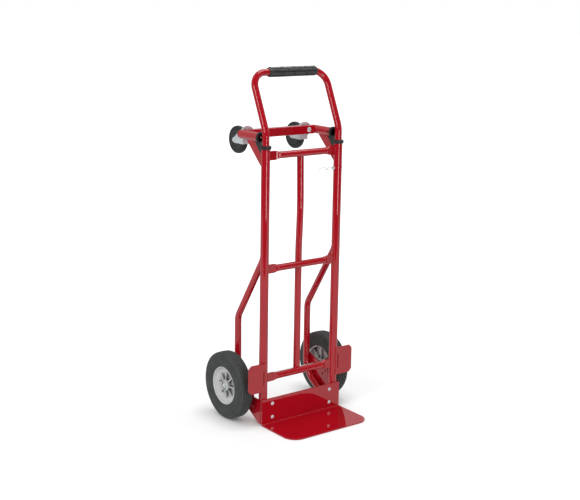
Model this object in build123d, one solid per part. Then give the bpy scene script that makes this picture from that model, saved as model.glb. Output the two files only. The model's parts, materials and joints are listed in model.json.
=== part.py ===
from build123d import *
import math
import os

# Convertible hand truck, standing upright on its toe plate and main wheels.
# X runs across the truck, with +X to the left hand of a person who pushes it, +Y points back from
# the toe plate to the main wheels, and +Z is up. Z = 0 is the floor. Y = 0 is the rails' centre
# plane here; the finished parts are shifted by TO_ORIGIN so that the origin is under the middle
# of the truck's box. Millimetres.

# ---------------------------------------------------------------- driving dimensions
RAIL_OD = 31.75
RAIL_WALL = 2.0
RAIL_X = 164.5
RAIL_BOTTOM = 4.5
RAIL_TOP = 1022.0

TUBE_OD = 25.4
TUBE_WALL = 1.8
CROSSBAR_Z = {"bottom": 176.5, "middle": 587.0, "top": 998.0}
FLAT_HEIGHT = 34.0
FLAT_THICK = 9.0
FLAT_LENGTH = 23.0
FLARE_LENGTH = 23.0
CENTRE_BAR_Y = (14.0, 7.5, 13.5)
CENTRE_BAR_BOW_Z = (640.0, 800.0)
CENTRE_BAR_RADIUS = 1500.0

HANDLE_LEG_BOTTOM = 905.0
HANDLE_KINK_Z = 1081.0
HANDLE_KINK_RADIUS = 80.0
HANDLE_LEAN = 24.1
HANDLE_LENGTH = 220.0
HANDLE_CORNER_RADIUS = 57.0
GRIP_OD = 37.0
GRIP_START_X = -93.0
GRIP_SEGMENTS = 4
GRIP_SEGMENT = 54.0

COLLAR_OD = 40.0
COLLAR_HEIGHT = 12.0
COLLAR_CHAMFER = 1.5
SLEEVE_DEPTH = 40.0
SOCKET_RIM = 8.0
SOCKET_WEB = 12.0
RUNNING_GAP = 0.05
SIDE_GAP = 0.3
SEAT_GAP = 0.01

ARM_Z = 1059.5
ARM_FRONT = 36.0
ARM_END_WALL = 2.5
ARM_END_RADIUS = 4.0
BEAM_FRONT = 130.0
BEAM_DEPTH = 25.4
BEAM_HEIGHT = 32.0
BEAM_WALL = 2.5
BEAM_CORNER = 3.0
BEAM_COPE = 10.0
PLATFORM_PIN_Y = 48.0
GUSSET_THICK = 4.0
GUSSET_FOOT_Z = 946.0
GUSSET_REACH = 117.0

SIDE_TUBE_Y = 163.0
SIDE_TUBE_TOP_Z = 612.0
SIDE_TUBE_KNEE_Z = 376.0
SIDE_TUBE_KNEE_RADIUS = 60.0
SIDE_TUBE_HEEL_Z = 98.6
SIDE_TUBE_HEEL_RADIUS = 100.0
SIDE_TUBE_FOOT_Z = 6.0

WHEEL_RADIUS = 127.0
WHEEL_X = 227.0
WHEEL_Y = 133.0
TYRE_WIDTH = 58.0
TYRE_GROOVES = (-15.0, -5.0, 5.0, 15.0)
TYRE_GROOVE_HALF = 2.0
TYRE_GROOVE_DEPTH = 2.5
BEAD_RADIUS = 72.5
AXLE_D = 15.875
AXLE_HALF = 249.0
HUB_HALF_WIDTH = 23.0
HUB_RIM_THICK = 5.0
HUB_WEB = 6.0
HUB_BOSS_RADIUS = 20.5
HUB_BOSS_LIP = 19.0
HUB_RECESS_RADIUS = 16.8
HUB_BOSS_OUT = 13.0
HUB_BOSS_IN = 22.0
HUB_BOSS_IN_RADIUS = 19.0
HUB_RIBS = 8
HUB_RIB_THICK = 4.0
HUB_BORE_GAP = 1.5
BEARING_OD = 26.0
BEARING_LENGTH = 10.0
SPACER_RADIUS = 11.0
WASHER_RADIUS = 15.0
WASHER_THICK = 2.4
COTTER_INSET = 4.5
COTTER_RADIUS = 1.6
COTTER_REACH = (-10.5, 9.0)
COTTER_TAIL = (5.0, -2.0)
COTTER_EYE = (2.6, 1.3)

PLATE = 4.0
PLATE_BITE = 0.8
AXLE_PLATE_HOLES = ((43, 58), (74, 108), (56, 124))
AXLE_PLATE_HOLE_R = 4.5
TOE_THICK = 4.5
TOE_HALF_WIDTH = 183.0
TOE_FRONT = -205.0
TOE_FLANGE_TOP = 101.0
TOE_CORNER_RADIUS = 50.0
TOE_BEND_RADIUS = 8.0
TOE_BOLT_X = 135.0
TOE_BOLT_Z = (27.0, 79.0)
TOE_BOLT_D = 8.0
TOE_BOLT_HEAD = (7.2, 3.8)
TOE_BOLT_PAST = 9.0
BRACKET_SIDE = 18.0
BRACKET_Z = (12.0, 98.0)
NUT_ACROSS = 13.0
NUT_HEIGHT = 6.0
NUT_WASHER = (8.0, 1.5)

GUARD_OUTER_X = 243.0
GUARD_Z = (131.0, 240.0)
GUARD_CORNER = 12.0
GUARD_THICK = 3.0
GUARD_SLOT_X = 175.0
GUARD_SLOT = (4.0, 55.0)
GUARD_SLOT_Z = 184.0

CASTER_X = 131.0
CASTER_RADIUS = 50.8
CASTER_WIDTH = 24.0
CASTER_TRAIL = 29.0
CASTER_AXLE_Y = 217.0
CASTER_CORE_RADIUS = 34.0
CASTER_AXLE_D = 8.0
CASTER_BOSS = (9.0, 11.0)
CASTER_WEB = 8.0
CASTER_SPACER_RADIUS = 6.5
KINGPIN_D = 10.0
KINGPIN_HEAD = (9.5, 5.2)
KINGPIN_NUT = (15.0, 4.0)
RACE_RADIUS = 27.0
RACE_THICK = 3.0
RACE_GAP = 3.5
FORK_INSIDE = 15.0
FORK_SHEET = 2.5
FORK_LEG_HALF = 11.0
FORK_LEG_BEND_Y = 190.0
FORK_LEG_RISE = 12.0

PIN_Z = 931.0
PIN_D = 8.0
PIN_REACH = 186.0
PIN_HEAD = 6.0
PIN_HEAD_RADIUS = 6.5
PIN_HEAD_GAP = 1.5
CLIP_WIRE = 2.6
CLIP_LENGTH = 62.0

# ---------------------------------------------------------------- values that follow
RAIL_R = RAIL_OD / 2
TUBE_R = TUBE_OD / 2
AXLE_PLATE_X = RAIL_X + TUBE_R - PLATE_BITE
COLLAR_TOP = RAIL_TOP + COLLAR_HEIGHT
BEAM_REAR = BEAM_FRONT + BEAM_DEPTH
BEAM_HALF = RAIL_X - BEAM_COPE
TOE_FACE_REAR = -RAIL_R
TOE_FACE_FRONT = TOE_FACE_REAR - TOE_THICK
REAR_LIMIT = CASTER_AXLE_Y + CASTER_RADIUS
TO_ORIGIN = Vector(0, -(TOE_FRONT + REAR_LIMIT) / 2, 0)
SIDES = {"left": -1, "right": 1}
nodes = {}


# ---------------------------------------------------------------- helpers
def box_between(low, high):
    """A box from its lowest to its highest corner."""
    size = [b - a for a, b in zip(low, high)]
    middle = [(a + b) / 2 for a, b in zip(low, high)]
    return Pos(*middle) * Box(*size)


def rod(start, end, radius):
    """A round bar between two points."""
    start, end = Vector(*start), Vector(*end)
    plane = Plane(origin=start, z_dir=end - start)
    return extrude(plane * Circle(radius), (end - start).length)


def tube(path, radius, wall):
    """A round tube swept along a path, open at both ends."""
    section = path ^ 0
    outer = sweep(section * Circle(radius), path)
    inner = sweep(section * Circle(radius - wall), path)
    return outer - inner


def turned(profile, centre, axis):
    """A solid of revolution: (distance along the axis, radius) points turned about it."""
    plane = Plane(origin=centre, z_dir=axis)
    outline = make_face(Polyline(*[(r, a) for a, r in profile], close=True))
    solid = revolve(Plane.XZ * outline, Axis.Z)
    return plane * solid


def plate_yz(points, x_low, x_high):
    """A flat plate that lies in a YZ plane, from (y, z) corners."""
    face = make_face(Polyline(*[(x_low, y, z) for y, z in points], close=True))
    return extrude(face, x_high - x_low, dir=(1, 0, 0))


def plate_xz(points, y_low, y_high):
    """A flat plate that lies in an XZ plane, from (x, z) corners."""
    face = make_face(Polyline(*[(x, y_low, z) for x, z in points], close=True))
    return extrude(face, y_high - y_low, dir=(0, 1, 0))


def hexagon_prism(centre, across_flats, height, axis):
    """A hexagon bar that starts at a point and runs along an axis."""
    plane = Plane(origin=centre, z_dir=axis)
    return extrude(plane * RegularPolygon(across_flats / math.sqrt(3), 6), height)


def domed_head(centre, radius, height, axis):
    """A carriage bolt's round head that stands on a face and points along an axis."""
    sphere_radius = (radius ** 2 + height ** 2) / (2 * height)
    plane = Plane(origin=centre, z_dir=axis)
    ball = Pos(0, 0, height - sphere_radius) * Sphere(sphere_radius)
    return plane * (ball & (Pos(0, 0, height) * Box(4 * radius, 4 * radius, 2 * height)))


def rail_core(side):
    """The space that a rail fills, for pieces that are cut to fit against it."""
    return rod((side * RAIL_X, 0, RAIL_BOTTOM - 20), (side * RAIL_X, 0, RAIL_TOP + 1), RAIL_R)


def keep(name, shape):
    """Store a node's solids in the truck's own frame."""
    nodes[name] = shape.moved(Location(TO_ORIGIN))


# ---------------------------------------------------------------- frame
def pin_hole(x_low, x_high, y, z):
    return rod((x_low, y, z), (x_high, y, z), PIN_D / 2 + SIDE_GAP)


def rail(side):
    x = side * RAIL_X
    path = Line((x, 0, RAIL_BOTTOM), (x, 0, RAIL_TOP))
    body = tube(path, RAIL_R, RAIL_WALL)
    if side > 0:
        body -= pin_hole(x - RAIL_OD, x + RAIL_OD, 0, PIN_Z)
    return body


def pressed_bar(z, inset):
    """A bar with tall, thin ends, smaller all round by an inset: a crossbar's outside or inside."""
    flat_start = RAIL_X - RAIL_R - FLAT_LENGTH
    round_end = flat_start - FLARE_LENGTH
    radius = TUBE_R - inset
    bar = rod((-round_end, 0, z), (round_end, 0, z), radius)
    for side in SIDES.values():
        face = Plane(origin=(side * round_end, 0, z), x_dir=(0, 1, 0), z_dir=(side, 0, 0))
        pressed = face.offset(FLARE_LENGTH)
        flat = Ellipse(FLAT_THICK / 2 - inset, FLAT_HEIGHT / 2 - inset)
        bar += loft([face * Ellipse(radius, radius), pressed * flat])
        bar += extrude(pressed * flat, FLAT_LENGTH + RAIL_R)
    return bar


def crossbar(z):
    """A tube whose ends are pressed tall and thin where they meet the rails."""
    bar = pressed_bar(z, 0) - pressed_bar(z, TUBE_WALL)
    return bar - rail_core(-1) - rail_core(1)


def centre_bar(crossbars):
    """The upright tube behind the crossbars, which bows a little forward in its upper half."""
    foot_y, bow_y, head_y = CENTRE_BAR_Y
    bow_start, bow_end = CENTRE_BAR_BOW_Z
    points = [(0, foot_y, CROSSBAR_Z["bottom"]), (0, foot_y, bow_start), (0, bow_y, bow_end),
              (0, head_y, CROSSBAR_Z["top"])]
    bar = tube(FilletPolyline(*points, radius=CENTRE_BAR_RADIUS), TUBE_R, TUBE_WALL)
    for piece in crossbars:
        bar -= piece
    return max(bar.solids(), key=lambda solid: solid.volume)


def side_tube(side):
    """The bent rear tube: down and back from the rail, straight down, then forward to its foot."""
    x = side * RAIL_X
    points = [(x, 0, SIDE_TUBE_TOP_Z + 24), (x, SIDE_TUBE_Y, SIDE_TUBE_KNEE_Z),
              (x, SIDE_TUBE_Y, SIDE_TUBE_HEEL_Z), (x, 0, SIDE_TUBE_FOOT_Z - 7)]
    path = FilletPolyline(*points, radius=[SIDE_TUBE_KNEE_RADIUS, SIDE_TUBE_HEEL_RADIUS])
    body = tube(path, TUBE_R, TUBE_WALL) - rail_core(side)
    body &= box_between((x - 50, RAIL_R / 3, 1), (x + 50, 300, RAIL_TOP))
    return max(body.solids(), key=lambda solid: solid.volume)


def axle_plate(side, tube_solid):
    """The plate that ties the rail's foot to the side tube and carries the axle."""
    x_low, x_high = sorted((side * AXLE_PLATE_X, side * (AXLE_PLATE_X + PLATE)))
    outline = [(-6, 96), (38, 96), (46, 134), (92, 146), (132, 160), (SIDE_TUBE_Y, 172),
               (SIDE_TUBE_Y + 8, 150), (SIDE_TUBE_Y + 2, 120), (136, 84), (60, 42), (8, 13), (-6, 16)]
    body = plate_yz(outline, x_low, x_high)
    wide = 2 * RAIL_X
    body -= rod((-wide, WHEEL_Y, WHEEL_RADIUS), (wide, WHEEL_Y, WHEEL_RADIUS), AXLE_D / 2)
    for y, z in AXLE_PLATE_HOLES:
        body -= rod((-wide, y, z), (wide, y, z), AXLE_PLATE_HOLE_R)
    tube_x = side * RAIL_X
    tube_core = rod((tube_x, SIDE_TUBE_Y, 0), (tube_x, SIDE_TUBE_Y, SIDE_TUBE_KNEE_Z), TUBE_R)
    return body - rail_core(side) - tube_solid - tube_core


def wheel_guard(side):
    low, high = GUARD_Z
    outer, cut = GUARD_OUTER_X, GUARD_CORNER
    outline = [(RAIL_X, low), (outer - cut, low), (outer, low + cut),
               (outer, high - cut), (outer - cut, high), (RAIL_X, high)]
    body = plate_xz([(side * x, z) for x, z in outline], TOE_FACE_REAR - GUARD_THICK, TOE_FACE_REAR + 1)
    width, height = GUARD_SLOT
    x = side * GUARD_SLOT_X
    slot_low = (x - width / 2, TOE_FACE_REAR - 2 * GUARD_THICK, GUARD_SLOT_Z - height / 2)
    slot_high = (x + width / 2, TOE_FACE_REAR + 2 * GUARD_THICK, GUARD_SLOT_Z + height / 2)
    return body - box_between(slot_low, slot_high) - rail_core(side)


# ---------------------------------------------------------------- toe plate
def toe_plate():
    """An L of sheet steel: a bed with two round front corners, and a flange up the rails."""
    inner = TOE_BEND_RADIUS - TOE_THICK
    bed_top, flange_rear = TOE_THICK, TOE_FACE_REAR
    start_y, flange_front = TOE_FRONT, TOE_FACE_FRONT
    with BuildPart() as body:
        with BuildSketch(Plane.YZ.offset(-TOE_HALF_WIDTH)):
            with BuildLine():
                Polyline((flange_rear - TOE_BEND_RADIUS, 0), (start_y, 0), (start_y, bed_top),
                         (flange_front - inner, bed_top))
                RadiusArc((flange_front - inner, bed_top), (flange_front, bed_top + inner), -inner)
                Polyline((flange_front, bed_top + inner), (flange_front, TOE_FLANGE_TOP),
                         (flange_rear, TOE_FLANGE_TOP), (flange_rear, TOE_BEND_RADIUS))
                RadiusArc((flange_rear, TOE_BEND_RADIUS), (flange_rear - TOE_BEND_RADIUS, 0),
                          TOE_BEND_RADIUS)
            make_face()
        extrude(amount=2 * TOE_HALF_WIDTH)
        front = body.edges().filter_by(Axis.Z).group_by(Axis.Y)[0]
        fillet(front, TOE_CORNER_RADIUS)
    shape = body.part
    for x, z in toe_bolt_places():
        shape -= rod((x, -50, z), (x, 0, z), TOE_BOLT_D / 2)
    return shape


def toe_bolt_places():
    return [(side * TOE_BOLT_X, z) for side in SIDES.values() for z in TOE_BOLT_Z]


def toe_bracket(side):
    """The tab on the rail's inner side that the toe plate bolts to."""
    x_low, x_high = sorted((side * (TOE_BOLT_X - BRACKET_SIDE), side * RAIL_X))
    low, high = BRACKET_Z
    body = box_between((x_low, TOE_FACE_REAR, low), (x_high, TOE_FACE_REAR + PLATE, high))
    for x, z in toe_bolt_places():
        body -= rod((x, -50, z), (x, 0, z), TOE_BOLT_D / 2)
    return body - rail_core(side)


def toe_bolts():
    bolts = []
    for x, z in toe_bolt_places():
        end_y = TOE_FACE_REAR + PLATE + TOE_BOLT_PAST
        shank = rod((x, TOE_FACE_FRONT, z), (x, end_y, z), TOE_BOLT_D / 2)
        bolts.append(shank + domed_head((x, TOE_FACE_FRONT, z), *TOE_BOLT_HEAD, (0, -1, 0)))
    return Compound(children=bolts)


def toe_nuts():
    """A washer and a hexagon nut behind each bracket's bolt."""
    nuts = []
    washer_radius, washer_thick = NUT_WASHER
    start_y = TOE_FACE_REAR + PLATE
    for x, z in toe_bolt_places():
        washer = rod((x, start_y, z), (x, start_y + washer_thick, z), washer_radius)
        nut = hexagon_prism((x, start_y + washer_thick, z), NUT_ACROSS, NUT_HEIGHT, (0, 1, 0))
        nuts.append(washer + nut - rod((x, -50, z), (x, 20, z), TOE_BOLT_D / 2))
    return Compound(children=nuts)


# ---------------------------------------------------------------- main wheels
def tyre(side):
    """A solid rubber tyre with four grooves around its tread."""
    half, radius, groove = TYRE_WIDTH / 2, WHEEL_RADIUS, TYRE_GROOVE_HALF
    tread = [(-20, radius - 1.2)]
    for middle in TYRE_GROOVES:
        floor = radius - TYRE_GROOVE_DEPTH
        tread += [(middle - groove, radius), (middle - groove / 2, floor), (middle + groove / 2, floor),
                  (middle + groove, radius)]
    tread += [(20, radius - 1.2)]
    profile = [(-HUB_HALF_WIDTH, BEAD_RADIUS), (-half + 3, BEAD_RADIUS + 2), (-half, BEAD_RADIUS + 9),
               (-half, radius - 24), (-half + 1.5, radius - 12), (-half + 4.5, radius - 5)]
    profile += tread
    profile += [(half - 4.5, radius - 5), (half - 1.5, radius - 12), (half, radius - 24),
                (half, BEAD_RADIUS + 9), (half - 3, BEAD_RADIUS + 2), (HUB_HALF_WIDTH, BEAD_RADIUS)]
    return turned(profile, (side * WHEEL_X, WHEEL_Y, WHEEL_RADIUS), (side, 0, 0))


def wheel_place(side):
    """A wheel's own plane: at its centre, with Z along the axle and away from the truck."""
    centre = (side * WHEEL_X, WHEEL_Y, WHEEL_RADIUS)
    return Plane(origin=centre, x_dir=(0, 1, 0), z_dir=(side, 0, 0))


def disc(radius, low, high):
    """A cylinder along Z between two heights."""
    return Pos(0, 0, (low + high) / 2) * Cylinder(radius, high - low)


def wheel_hub(side):
    """A moulded hub: rim, web, boss and ribs, with a bearing seat at each end of its boss."""
    rim_inner = BEAD_RADIUS - HUB_RIM_THICK
    half = HUB_HALF_WIDTH
    rim = disc(BEAD_RADIUS, -half, half) - disc(rim_inner, -half, half)
    web = disc(rim_inner + 1, -HUB_WEB / 2, HUB_WEB / 2)
    hub = rim + web + disc(HUB_BOSS_RADIUS, 0, HUB_BOSS_LIP) + disc(HUB_BOSS_IN_RADIUS, -HUB_BOSS_IN, 0)
    rib_start = HUB_BOSS_IN_RADIUS - 1
    rib_length = rim_inner + 1 - rib_start
    for index in range(HUB_RIBS):
        rib = Pos(rib_start + rib_length / 2, 0, 0) * Box(rib_length, HUB_RIB_THICK, 2 * HUB_BOSS_OUT)
        hub += Rot(0, 0, index * 360 / HUB_RIBS) * rib
    hub -= disc(HUB_RECESS_RADIUS, HUB_BOSS_OUT, HUB_BOSS_LIP)
    hub -= disc(AXLE_D / 2 + HUB_BORE_GAP, -HUB_BOSS_IN, HUB_BOSS_OUT)
    hub -= disc(BEARING_OD / 2, HUB_BOSS_OUT - BEARING_LENGTH, HUB_BOSS_OUT)
    hub -= disc(BEARING_OD / 2, -HUB_BOSS_IN, -HUB_BOSS_IN + BEARING_LENGTH)
    return wheel_place(side) * hub


def wheel_bearings(side):
    """Two plain bearing rings, one in each end of the hub's boss."""
    rings = []
    for low in (HUB_BOSS_OUT - BEARING_LENGTH, -HUB_BOSS_IN):
        high = low + BEARING_LENGTH
        ring = disc(BEARING_OD / 2 - SEAT_GAP, low, high) - disc(AXLE_D / 2 + RUNNING_GAP, low, high)
        rings.append(wheel_place(side) * ring)
    return Compound(children=rings)


def axle():
    ends = [(side * AXLE_HALF, WHEEL_Y, WHEEL_RADIUS) for side in SIDES.values()]
    body = rod(ends[0], ends[1], AXLE_D / 2)
    for x, _, _ in ends:
        pin_x = x - math.copysign(COTTER_INSET, x)
        body -= rod((pin_x, WHEEL_Y, 0), (pin_x, WHEEL_Y, 2 * WHEEL_RADIUS), COTTER_RADIUS)
    return body


def axle_ring(x_from, x_to, radius):
    """A washer or spacer on the axle."""
    ring = rod((x_from, WHEEL_Y, WHEEL_RADIUS), (x_to, WHEEL_Y, WHEEL_RADIUS), radius)
    return ring - rod((-300, WHEEL_Y, WHEEL_RADIUS), (300, WHEEL_Y, WHEEL_RADIUS), AXLE_D / 2)


def axle_spacers():
    start, end = AXLE_PLATE_X + PLATE, WHEEL_X - HUB_BOSS_IN - SIDE_GAP
    return Compound(children=[axle_ring(s * start, s * end, SPACER_RADIUS) for s in SIDES.values()])


def axle_washer(side):
    """The washer in the recess of the hub's boss."""
    start = WHEEL_X + HUB_BOSS_OUT + SIDE_GAP
    return axle_ring(side * start, side * (start + WASHER_THICK), WASHER_RADIUS)


def cotter_pins():
    """A split pin through each axle end, with its eye and bent tail."""
    pins = []
    low, high = (WHEEL_RADIUS + reach for reach in COTTER_REACH)
    back, down = COTTER_TAIL
    eye_radius, eye_wire = COTTER_EYE
    for side in SIDES.values():
        x = side * (AXLE_HALF - COTTER_INSET)
        shank = rod((x, WHEEL_Y, low), (x, WHEEL_Y, high), COTTER_RADIUS)
        tail = rod((x, WHEEL_Y, low), (x, WHEEL_Y + back, low + down), COTTER_RADIUS)
        elbow = Pos(x, WHEEL_Y, low) * Sphere(COTTER_RADIUS)
        eye = Pos(x, WHEEL_Y, high + eye_radius) * Rot(0, 90, 0) * Torus(eye_radius, eye_wire)
        pins.append(shank + tail + elbow + eye)
    return Compound(children=pins)


# ---------------------------------------------------------------- sockets and caster beam
def rail_collar(side):
    """The plastic liner of a rail's top, with a web behind it that runs up to the socket's rim."""
    x = side * RAIL_X
    flange = rod((x, 0, RAIL_TOP), (x, 0, COLLAR_TOP), COLLAR_OD / 2)
    flange = chamfer(flange.edges().filter_by(GeomType.CIRCLE), COLLAR_CHAMFER)
    sleeve = rod((x, 0, RAIL_TOP - SLEEVE_DEPTH), (x, 0, RAIL_TOP + 1), RAIL_R - RAIL_WALL)
    front, arm_low, rail_rear = ARM_FRONT - SOCKET_RIM, ARM_Z - RAIL_R, RAIL_R + 1
    web = plate_yz([(front, arm_low), (58, arm_low + 0.5), (34, 1016), (rail_rear, 1003),
                    (rail_rear, COLLAR_TOP - 2)], x - SOCKET_WEB / 2, x + SOCKET_WEB / 2)
    web -= rod((x, 0, ARM_Z), (x, 200, ARM_Z), RAIL_R)
    web -= rod((x, front, ARM_Z), (x, ARM_FRONT, ARM_Z), COLLAR_OD / 2)
    bore = rod((x, 0, RAIL_TOP - 90), (x, 0, COLLAR_TOP + 10), TUBE_R + RUNNING_GAP)
    return flange + sleeve + web - bore


def socket_arm(side):
    """The tube that takes a leg of the handle when the truck is a platform cart, closed at its rear."""
    x = side * RAIL_X
    body = rod((x, ARM_FRONT, ARM_Z), (x, BEAM_REAR, ARM_Z), RAIL_R)
    body = fillet(body.edges().filter_by(GeomType.CIRCLE).sort_by(Axis.Y)[-1], ARM_END_RADIUS)
    body -= rod((x, ARM_FRONT, ARM_Z), (x, BEAM_REAR - ARM_END_WALL, ARM_Z), RAIL_R - RAIL_WALL)
    return body - platform_pin_hole(side)


def platform_pin_hole(side):
    """The hole in the inner wall of a socket for the hitch pin."""
    x = side * RAIL_X
    return pin_hole(x - side * RAIL_OD, x, PLATFORM_PIN_Y, ARM_Z)


def socket_bushing(side):
    """The plastic liner of a socket: a rim in front of the arm and a sleeve inside it."""
    x = side * RAIL_X
    front, end = ARM_FRONT - SOCKET_RIM, ARM_FRONT + SLEEVE_DEPTH
    rim = rod((x, front, ARM_Z), (x, ARM_FRONT, ARM_Z), COLLAR_OD / 2)
    rim = chamfer(rim.edges().filter_by(GeomType.CIRCLE), COLLAR_CHAMFER)
    sleeve = rod((x, ARM_FRONT - 1, ARM_Z), (x, end, ARM_Z), RAIL_R - RAIL_WALL)
    bore = rod((x, front - 1, ARM_Z), (x, end + 1, ARM_Z), TUBE_R + RUNNING_GAP)
    return rim + sleeve - bore - platform_pin_hole(side)


def gusset(side):
    x = side * RAIL_X
    arm_low = ARM_Z - RAIL_R + 1.5
    outline = [(RAIL_R - 2, GUSSET_FOOT_Z), (RAIL_R - 2, 1001), (34, 1013.5), (62, arm_low),
               (GUSSET_REACH, arm_low)]
    body = plate_yz(outline, x - GUSSET_THICK / 2, x + GUSSET_THICK / 2)
    return body - rail_core(side) - rod((x, 0, ARM_Z), (x, 200, ARM_Z), RAIL_R)


def caster_beam():
    """The box beam between the sockets' arms, coped to fit them, with a hole for each kingpin."""
    low, high = ARM_Z - BEAM_HEIGHT / 2, ARM_Z + BEAM_HEIGHT / 2
    body = box_between((-BEAM_HALF, BEAM_FRONT, low), (BEAM_HALF, BEAM_REAR, high))
    body = fillet(body.edges().filter_by(Axis.X), BEAM_CORNER)
    body -= box_between((-BEAM_HALF, BEAM_FRONT + BEAM_WALL, low + BEAM_WALL),
                        (BEAM_HALF, BEAM_REAR - BEAM_WALL, high - BEAM_WALL))
    for side in SIDES.values():
        arm_x, caster_x = side * RAIL_X, side * CASTER_X
        body -= rod((arm_x, 0, ARM_Z), (arm_x, 200, ARM_Z), RAIL_R)
        body -= rod((caster_x, 0, ARM_Z), (caster_x, 200, ARM_Z), KINGPIN_D / 2)
    return body


# ---------------------------------------------------------------- casters
RACE_Y = (BEAM_REAR, BEAM_REAR + RACE_THICK)
CROWN_Y = (RACE_Y[1] + RACE_GAP, RACE_Y[1] + RACE_GAP + FORK_SHEET)
CASTER_AXLE_Z = ARM_Z - CASTER_TRAIL


def kingpin(side):
    """The bolt that a caster swivels on: a domed head with a hexagon socket, and its nut."""
    x = side * CASTER_X
    nut_across, nut_height = KINGPIN_NUT
    nut_start = CROWN_Y[1] + SIDE_GAP
    shank = rod((x, BEAM_FRONT, ARM_Z), (x, nut_start + nut_height, ARM_Z), KINGPIN_D / 2)
    head = domed_head((x, BEAM_FRONT, ARM_Z), *KINGPIN_HEAD, (0, -1, 0))
    head -= hexagon_prism((x, BEAM_FRONT - 6, ARM_Z), 6, 4, (0, 1, 0))
    nut = hexagon_prism((x, nut_start, ARM_Z), nut_across, nut_height, (0, 1, 0))
    return shank + head + nut


def caster_race(side):
    """The fixed dished plate of the swivel, against the beam."""
    profile = [(0, KINGPIN_D / 2), (0, RACE_RADIUS), (RACE_THICK - 1, RACE_RADIUS),
               (RACE_THICK, RACE_RADIUS - 2), (RACE_THICK, KINGPIN_D / 2)]
    return turned(profile, (side * CASTER_X, RACE_Y[0], ARM_Z), (0, 1, 0))


def caster_bearing(side):
    """The caged ring between the fixed plate and the fork's crown."""
    x = side * CASTER_X
    low, high = RACE_Y[1] + SIDE_GAP, CROWN_Y[0]
    ring = rod((x, low, ARM_Z), (x, high, ARM_Z), RACE_RADIUS - 3)
    return ring - rod((x, 0, ARM_Z), (x, 300, ARM_Z), RACE_RADIUS - 9)


def caster_fork(side):
    """A pressed crown with two legs that reach back and down to the wheel's axle."""
    x = side * CASTER_X
    crown = rod((x, CROWN_Y[0], ARM_Z), (x, CROWN_Y[1], ARM_Z), RACE_RADIUS)
    crown -= rod((x, 0, ARM_Z), (x, 300, ARM_Z), KINGPIN_D / 2 + RUNNING_GAP)
    leg_face = FORK_INSIDE + FORK_SHEET
    low, high = CASTER_AXLE_Z - FORK_LEG_HALF, ARM_Z + FORK_LEG_RISE
    bridge = box_between((x - leg_face, CROWN_Y[0], low), (x + leg_face, CROWN_Y[1], high))
    bridge -= rod((x, 0, ARM_Z), (x, 300, ARM_Z), KINGPIN_D / 2 + RUNNING_GAP)
    fork = crown + bridge
    outline = [(CROWN_Y[0], high), (CROWN_Y[0], low)]
    for step in range(7):
        angle = math.radians(30 * step - 90)
        outline.append((CASTER_AXLE_Y + FORK_LEG_HALF * math.cos(angle),
                        CASTER_AXLE_Z + FORK_LEG_HALF * math.sin(angle)))
    outline.append((FORK_LEG_BEND_Y, high - 8))
    for hand in (-1, 1):
        x_low, x_high = sorted((x + hand * FORK_INSIDE, x + hand * leg_face))
        fork += plate_yz(outline, x_low, x_high)
    return fork - rod((-300, CASTER_AXLE_Y, CASTER_AXLE_Z), (300, CASTER_AXLE_Y, CASTER_AXLE_Z),
                      CASTER_AXLE_D / 2)


def caster_axle(side):
    """The bolt, nut and two spacers that carry a caster's wheel between the fork's legs."""
    x = side * CASTER_X
    at = (CASTER_AXLE_Y, CASTER_AXLE_Z)
    leg_face = FORK_INSIDE + FORK_SHEET
    shank = rod((x - leg_face, *at), (x + leg_face + NUT_HEIGHT + 1.5, *at), CASTER_AXLE_D / 2)
    head = hexagon_prism((x - leg_face - NUT_HEIGHT + 1, *at), NUT_ACROSS, NUT_HEIGHT - 1, (1, 0, 0))
    nut = hexagon_prism((x + leg_face, *at), NUT_ACROSS, NUT_HEIGHT, (1, 0, 0))
    body = shank + head + nut
    hub_half = CASTER_WIDTH / 2 + 1
    for hand in (-1, 1):
        start, end = x + hand * (hub_half + SIDE_GAP), x + hand * FORK_INSIDE
        body += rod((start, *at), (end, *at), CASTER_SPACER_RADIUS)
    return body


def caster_tyre(side):
    """A caster's rubber ring, with round shoulders."""
    half, radius, core = CASTER_WIDTH / 2, CASTER_RADIUS, CASTER_CORE_RADIUS
    profile = [(-half, core), (-half, radius - 8), (-half + 1.2, radius - 4.2), (-half + 4, radius - 1.4),
               (-half + 8, radius), (half - 8, radius), (half - 4, radius - 1.4),
               (half - 1.2, radius - 4.2), (half, radius - 8), (half, core)]
    return turned(profile, (side * CASTER_X, CASTER_AXLE_Y, CASTER_AXLE_Z), (1, 0, 0))


def caster_hub(side):
    """A caster wheel's moulded core: a rim and a boss with a thin web between them."""
    half, core, bore = CASTER_WIDTH / 2, CASTER_CORE_RADIUS, CASTER_AXLE_D / 2 + RUNNING_GAP
    end, web, (boss_end, boss_root) = half + 1, CASTER_WEB / 2, CASTER_BOSS
    profile = [(-end, bore), (-end, boss_end), (-web, boss_root), (-web, core - 5), (-half, core - 3),
               (-half, core), (half, core), (half, core - 3), (web, core - 5), (web, boss_root),
               (end, boss_end), (end, bore)]
    return turned(profile, (side * CASTER_X, CASTER_AXLE_Y, CASTER_AXLE_Z), (1, 0, 0))


# ---------------------------------------------------------------- handle and hitch pin
def handle_point(x, along):
    """A point of the leaning upper handle, at a distance along its lean from the kink."""
    lean = math.radians(HANDLE_LEAN)
    return (x, along * math.sin(lean), HANDLE_KINK_Z + along * math.cos(lean))


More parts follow.
